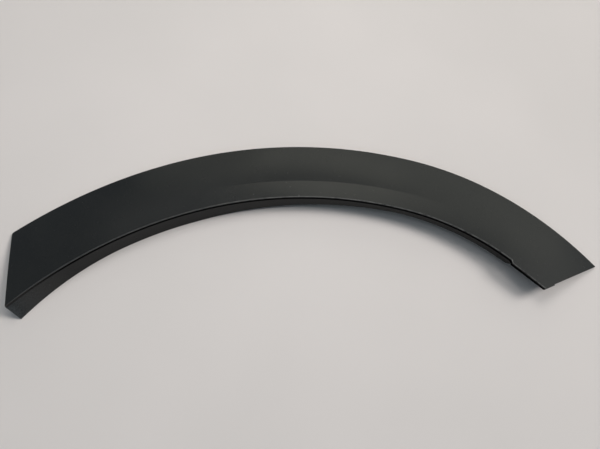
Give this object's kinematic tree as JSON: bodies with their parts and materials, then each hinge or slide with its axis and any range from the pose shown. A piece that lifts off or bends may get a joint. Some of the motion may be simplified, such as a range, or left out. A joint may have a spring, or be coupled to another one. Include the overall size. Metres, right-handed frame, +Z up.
{
  "type": "wheel arch trim",
  "caption": "Curved moulded trim for a car's wheel arch, with a creased satin face, a folded lip with return flange, and clip towers on the hidden side.",
  "frame": {"origin": "middle of the trim's footprint, on the plane that its outer land rests on", "axes": "+X along the strip towards its plain pointed end, +Y away from the wheel, +Z up, which is out from the car's side once fitted"},
  "size_m": [0.5716, 0.1958, 0.0204],
  "materials": {
    "grained_plastic": "dark charcoal moulded plastic with a fine satin grain"
  },
  "bodies": {
    "root": {"arch_trim": "grained_plastic"}
  },
  "joints": []
}
